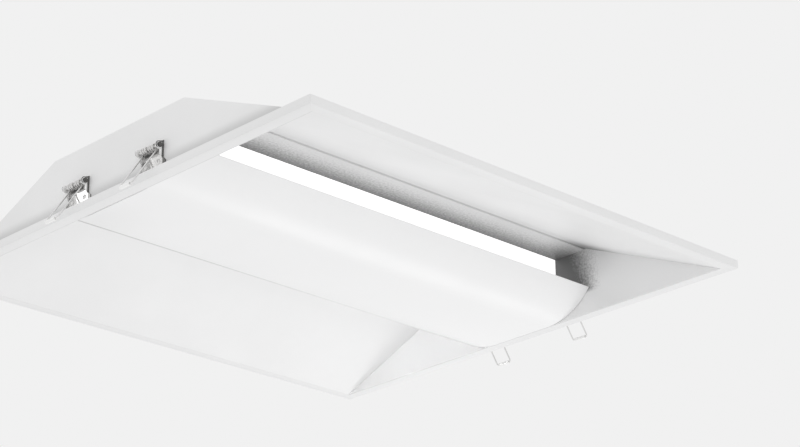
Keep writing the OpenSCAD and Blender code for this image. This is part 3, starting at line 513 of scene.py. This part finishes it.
def clipMetal(name, look):
    # a streaked flat plate with a painted dark reflection, brighter ears, and painted shade at the folds, the rims
    # and under the coil
    tree, shader, plate = streakedMetal(name, {}, look)
    masks = placeGroup(tree, foldedEdge)
    darkReflection = mathNode(tree, "MULTIPLY", masks["DarkReflection"], look["darkReflectionShare"])
    faces = mixColour(tree, masks["Ear"], mixColour(tree, darkReflection, plate, look["paintedDark"]), look["ear"])
    link(tree, mixColour(tree, masks["Dark"], faces, look["paintedDark"]), shader.inputs["Base Color"])
    metallic = mathNode(tree, "MULTIPLY_ADD", masks["Ear"], look["earMetal"] - look["metal"], look["metal"])
    link(tree, metallic, shader.inputs["Metallic"])


for name, look in rolledMetals.items():
    rolledMetal(name, look)
pinMetal("brightNickel", brightNickel)
clipMetal("clipSteel", clipSteel)

# Plastics, boards and rubber
plastics = {
    "whiteNylon": {"colour": (0.82, 0.81, 0.77), "shade": (0.78, 0.77, 0.72), "rough": (0.4, 0.5)},
    "sleevePlastic": {"colour": (0.96, 0.96, 0.955), "shade": (0.94, 0.94, 0.935), "rough": (0.2, 0.26)},
    "blackRubber": {"colour": (0.03, 0.03, 0.03), "shade": (0.045, 0.045, 0.045), "rough": (0.6, 0.75), "bump": 0.2},
    "whiteBoard": {"colour": (0.85, 0.87, 0.85), "shade": (0.81, 0.84, 0.81), "rough": (0.3, 0.4)},
    "greenBoard": {"colour": (0.03, 0.15, 0.05), "shade": (0.02, 0.1, 0.035), "rough": (0.3, 0.4)},
    "wireSkin": {"colour": (0.42, 0.07, 0.04), "shade": (0.36, 0.05, 0.03), "rough": (0.3, 0.4)},
    "phosphor": {"colour": (0.85, 0.7, 0.22), "shade": (0.8, 0.62, 0.16), "rough": (0.3, 0.4),
                 "glow": {"Emission Color": (1.0, 0.9, 0.7, 1), "Emission Strength": 1.0}},
}
plasticBump = 0.08   # where a plastic gives none of its own
opalStrip = {
    "colour": (0.8, 0.8, 0.8), "cloudShare": 0.97, "rough": 0.35, "bump": 0.04,
    "glow": (0.9, 0.9, 0.9), "paintedEndLight": (1.0, 1.0, 1.0), "strength": 1.0, "ends": (0.23, 0.287),
}


def mouldedPlastic(name, look):
    # colour and roughness follow the clouds, and the bump is the spark marks
    tree, shader = newMaterial(name, look.get("glow", {}))
    grain = placeGroup(tree, mouldedGrain)
    colour = mixColour(tree, mappedRange(tree, grain["Cloud"]), look["colour"], look["shade"])
    link(tree, colour, shader.inputs["Base Color"])
    link(tree, mappedRange(tree, grain["Cloud"], *look["rough"]), shader.inputs["Roughness"])
    addBump(tree, shader, grain["Height"], look.get("bump", plasticBump))


def opalPlastic(name, look):
    # the glow is even along the strip; painted light makes it a little stronger in its last few centimetres
    tree, shader = newMaterial(name, {"Roughness": look["rough"], "Emission Strength": look["strength"]})
    along = mathNode(tree, "ABSOLUTE", axes(tree, objectPlace(tree))[0])
    glow = mixColour(tree, smoothRange(tree, along, *look["ends"]), look["glow"], look["paintedEndLight"])
    link(tree, glow, shader.inputs["Emission Color"])
    grain = placeGroup(tree, mouldedGrain)
    cloudy = tuple(look["cloudShare"] * c for c in look["colour"])
    link(tree, mixColour(tree, grain["Cloud"], look["colour"], cloudy), shader.inputs["Base Color"])
    addBump(tree, shader, grain["Height"], look["bump"])


for name, look in plastics.items():
    mouldedPlastic(name, look)
opalPlastic("opal", opalStrip)

finishedNodes = {
    "trimPaint": ["trim_rail_front", "trim_rail_right", "trim_rail_back", "trim_rail_left",
                  "gear_tray", "joint_strips"],
    "topSheetPaint": ["housing_top"],
    "reflectorPaint": ["side_reflector_front"],
    "backReflectorPaintedLight": ["side_reflector_back"],
    "endPlatePaint": ["end_plate_left", "end_plate_right"],
    "panelPaint": ["centre_panel"],
    "opal": ["light_strip_front", "light_strip_back"],
    "zincSteel": ["corner_keys", "trim_screws", "end_plate_rivets", "carrier_rivets", "tray_screws", "driver_case",
                  "driver_lid", "driver_screws", "panel_ribs", "post_screws"],
    "rawAluminium": ["led_carrier_front", "led_carrier_back", "panel_posts"],
    "brightNickel": [f"clip_pin_{n}" for n in clipNumbers],
    "clipSteel": [f"clip_bracket_{n}" for n in clipNumbers],
    "drawnWire": ["clip_rivets"] + [f"clip_spring_{n}" for n in clipNumbers],
    "turnedBrass": ["terminal_screws", "earth_stud"],
    "whiteNylon": ["post_bushes", "terminal_block", "cable_clamp"],
    "sleevePlastic": [f"clip_sleeve_{n}" for n in clipNumbers],
    "blackRubber": ["cable_grommet"],
    "whiteBoard": ["led_board_front", "led_board_back"],
    "greenBoard": ["driver_board"],
    "wireSkin": ["mains_wiring", "light_wiring"],
    "phosphor": ["led_emitters"],
}
for name, wearers in finishedNodes.items():
    for wearer in wearers:
        mesh = nodes[wearer].data
        mesh.materials.clear()
        mesh.materials.append(finish[name])
print("finishes placed on", sum(len(wearers) for wearers in finishedNodes.values()), "nodes")

# Trim rails: the folded strip with the small radii of its bends
trimRail = {
    "half": 0.3, "flange": 0.013, "height": 0.0093, "innerLeg": 0.016, "wall": 0.0012,
    "bend": 0.0009, "innerBend": 0.0003, "edge": 0.0002, "gap": 0.00003,
}


def makeTrimRails(size):
    # a point of the section at depth d runs along the rail to x = +-(half - d - gap), which gives the mitres
    w, t, low, edge = size["flange"], size["wall"], -size["height"], size["edge"]
    top = low + size["innerLeg"]
    corners = [(0, 0), (0, low), (w, low), (w, top), (w - t, top), (w - t, low + t), (t, low + t), (t, 0)]
    section = roundedOutline(corners, [edge, size["bend"], size["innerBend"], edge, edge, edge, edge, edge])
    along = np.array([-1.0, -0.5, 0.0, 0.5, 1.0])[:, None]
    x = along * (size["half"] - section[:, 0] - size["gap"])
    y = np.broadcast_to(section[:, 0] - size["half"], x.shape)
    z = np.broadcast_to(section[:, 1], x.shape)
    points = np.stack([x, y, z], axis=-1).reshape(-1, 3)
    faces = tubeFaces(len(along), len(section))
    for name, turn in (("front", 0), ("right", 90), ("back", 180), ("left", 270)):
        c, s = round(math.cos(math.radians(turn))), round(math.sin(math.radians(turn)))
        spin = np.array([[c, -s, 0], [s, c, 0], [0, 0, 1]])
        addPiece("trimRail" + name.capitalize(), points @ spin.T, faces, finish["trimPaint"],
                 "housing", ["trim_rail_" + name])


makeTrimRails(trimRail)
print("trim rails made")

# Spring clips: round wire with its two coils, and the sleeve on the arm's end
clipSpring = {
    "out": 0.2925, "across": 0.059, "pin": 0.0267,   # the pin's place from the middle of the light
    "wire": 0.0016, "coil": 0.003, "turns": 3, "pitch": 0.0029, "width": 0.0205,
    "arm": 0.053, "rest": 56, "bend": 0.0024, "tail": 0.0034,
    "sides": 12, "turnSteps": 26, "tailPoints": 5, "legPoints": 8, "bendSteps": 8,
    "tailFree": 0.06, "legFree": 0.03,               # shares of tail and leg that the coil's end points stand for
}
clipSleeve = {
    "outer": 0.004, "bore": 0.0019, "length": 0.0154, "waist": 0.96,
    "rounding": (0.0001, 0.0005, 0.004, 0.0005, 0.0001), "steps": 5, "sides": 28,
}


def springHalf(size):
    # a straight tail under the coil, a helix whose radius vector turns evenly while it moves sideways, a straight
    # leg, then a quarter circle into the end bar; the normal is the helix's radius vector, held beyond its ends
    rest = math.radians(size["rest"])
    outward = np.array([math.cos(rest), 0, -math.sin(rest)])
    startAngle = 1.5 * math.pi
    endAngle = 1.5 * math.pi - rest + 2 * math.pi * size["turns"]
    rise = size["pitch"] * (endAngle - startAngle) / (2 * math.pi)
    tailY = size["width"] / 2 - rise
    t = np.linspace(0, 1, size["turnSteps"] * size["turns"] + 1)
    angle = startAngle + (endAngle - startAngle) * t
    coil = np.stack([size["coil"] * np.cos(angle), tailY + rise * t, size["coil"] * np.sin(angle)], axis=1)
    tailShares = np.linspace(1, size["tailFree"], size["tailPoints"])[:, None]
    tail = coil[0] - tailShares * np.array([size["tail"], 0, 0])
    cornerStart = coil[-1] + (size["arm"] - size["bend"]) * outward
    leg = coil[-1] + np.linspace(size["legFree"], 1, size["legPoints"])[:, None] * (cornerStart - coil[-1])
    a = np.linspace(0, math.pi / 2, size["bendSteps"] + 1)[1:, None]
    corner = cornerStart + size["bend"] * (np.sin(a) * outward - (1 - np.cos(a)) * np.array([0, 1, 0]))
    path = np.concatenate([tail, coil, leg, corner])
    turned = np.concatenate([np.full(len(tail), startAngle), angle, np.full(len(leg) + len(corner), endAngle)])
    normals = np.stack([np.cos(turned), np.zeros(len(path)), np.sin(turned)], axis=1)
    return path, normals, corner[-1]


def sleeveRing(sleeve, barEnd):
    # a lathe round the end bar: its section is the wall with rounded rims and a slightly slimmer waist
    half, outer, bore = sleeve["length"] / 2, sleeve["outer"] / 2, sleeve["bore"] / 2
    corners = [(-half, bore), (-half, outer), (0, outer * sleeve["waist"]), (half, outer), (half, bore)]
    section = roundedOutline(corners, sleeve["rounding"], sleeve["steps"])
    a = np.linspace(0, 2 * np.pi, sleeve["sides"], endpoint=False)
    along, reach = section[:, :1], section[:, 1:]
    x, z = barEnd[0] + reach * np.cos(a), barEnd[2] + reach * np.sin(a)
    return np.stack([x, np.broadcast_to(along, x.shape), z], axis=-1)


def clipPlace(points, sideX, sideY, size):
    # the clip is worked out for the right end plate: at the left it is turned half round about the vertical
    turned = points * np.array([sideX, sideX, 1.0])
    return turned + np.array([sideX * size["out"], sideY * size["across"], size["pin"]])


def makeClips(size, sleeve):
    # the half wire and its mirror image make the whole arm, which stands at the four places
    path, normals, barEnd = springHalf(size)
    whole = np.concatenate([path, path[::-1] * np.array([1.0, -1.0, 1.0])])
    wholeNormals = np.concatenate([normals, normals[::-1]])
    wire = tubeGrid(whole, wholeNormals, size["wire"] / 2, size["sides"])
    wireFaces = tubeFaces(len(whole), size["sides"])
    ring = sleeveRing(sleeve, barEnd)
    ringFaces = gridFaces(ring.shape[0], ring.shape[1], closeRows=True, closeCols=True)
    for n, (sideX, sideY) in zip(clipNumbers, [(-1, -1), (-1, 1), (1, -1), (1, 1)]):
        body = f"clip_arm_{n}"
        addPiece(f"springWire{n}", clipPlace(wire, sideX, sideY, size), wireFaces, finish["drawnWire"],
                 body, [f"clip_spring_{n}"])
        addPiece(f"armSleeve{n}", clipPlace(ring, sideX, sideY, size), ringFaces, finish["sleevePlastic"],
                 body, [f"clip_sleeve_{n}"])


makeClips(clipSpring, clipSleeve)
print("clips made")

# Light and stage
studio = {
    "world": 0.9, "backdrop": 0.879,
    "floorColour": (0.9, 0.9, 0.9), "floorRough": 0.9, "floorHeight": -5.2, "floorHalf": 300.0,
}
lamps = {   # sizes in metres, power in watts, spread in degrees
    "upperLamp": {"place": (-1.909, 2.2185, 1.181), "aim": (-0.287, 0.0115, 0.015), "size": (0.145, 0.38),
                  "power": 0.63, "spread": 180.0},
    "lowerLamp": {"place": (0.9, -1.3, -2.5), "aim": (0.0, 0.0, 0.0), "size": (2.0, 2.0),
                  "power": 8.0, "spread": 180.0},
    "sheenLamp": {"place": (1.0, 0.57, -1.1), "aim": (0.0, 0.0, 0.0), "size": (0.6, 0.6),
                  "power": 2.0, "spread": 180.0},
    "wallLamp": {"place": (-2.04, 0.527, -0.855), "aim": (0.287, 0.15, 0.005), "size": (0.19, 0.05),
                 "power": 0.0125, "spread": 4.0},
}


def makeWorld(look):
    # camera, mirror and glass rays meet the plain backdrop; all other rays bring an even light
    world = bpy.data.worlds.new("studio")
    bpy.context.scene.world = world
    world.use_nodes = True
    tree = world.node_tree
    tree.nodes.clear()
    output = tree.nodes.new("ShaderNodeOutputWorld")
    seen, light = tree.nodes.new("ShaderNodeBackground"), tree.nodes.new("ShaderNodeBackground")
    seen.inputs["Color"].default_value = (look["backdrop"],) * 3 + (1,)
    light.inputs["Color"].default_value = (1, 1, 1, 1)
    light.inputs["Strength"].default_value = look["world"]
    path = tree.nodes.new("ShaderNodeLightPath")
    direct = mathNode(tree, "MAXIMUM", path.outputs["Is Camera Ray"], path.outputs["Is Glossy Ray"])
    anySeen = mathNode(tree, "MAXIMUM", direct, path.outputs["Is Transmission Ray"])
    mix = tree.nodes.new("ShaderNodeMixShader")
    for socket, source in zip(mix.inputs, (anySeen, light.outputs[0], seen.outputs[0])):
        link(tree, source, socket)
    link(tree, mix.outputs[0], output.inputs["Surface"])


def makeFloor(look):
    half, z = look["floorHalf"], look["floorHeight"]
    mesh = bpy.data.meshes.new("floor")
    mesh.from_pydata([(-half, -half, z), (half, -half, z), (half, half, z), (-half, half, z)], [], [(0, 1, 2, 3)])
    floor = bpy.data.objects.new("floor", mesh)
    bpy.context.scene.collection.objects.link(floor)
    newMaterial("floorPaint", {"Base Color": (*look["floorColour"], 1), "Roughness": look["floorRough"]})
    mesh.materials.append(finish["floorPaint"])


def makeLamps(lamps):
    for name, look in lamps.items():
        data = bpy.data.lights.new(name, "AREA")
        data.shape = "RECTANGLE"
        data.size, data.size_y = look["size"]
        data.energy = look["power"]
        data.spread = math.radians(look["spread"])
        lamp = bpy.data.objects.new(name, data)
        place = Vector(look["place"])
        turn = (Vector(look["aim"]) - place).to_track_quat("-Z", "Y")
        lamp.matrix_world = Matrix.Translation(place) @ turn.to_matrix().to_4x4()
        bpy.context.scene.collection.objects.link(lamp)


makeWorld(studio)
makeFloor(studio)
makeLamps(lamps)
bpy.context.scene.view_settings.view_transform = "Standard"
print("studio lit")
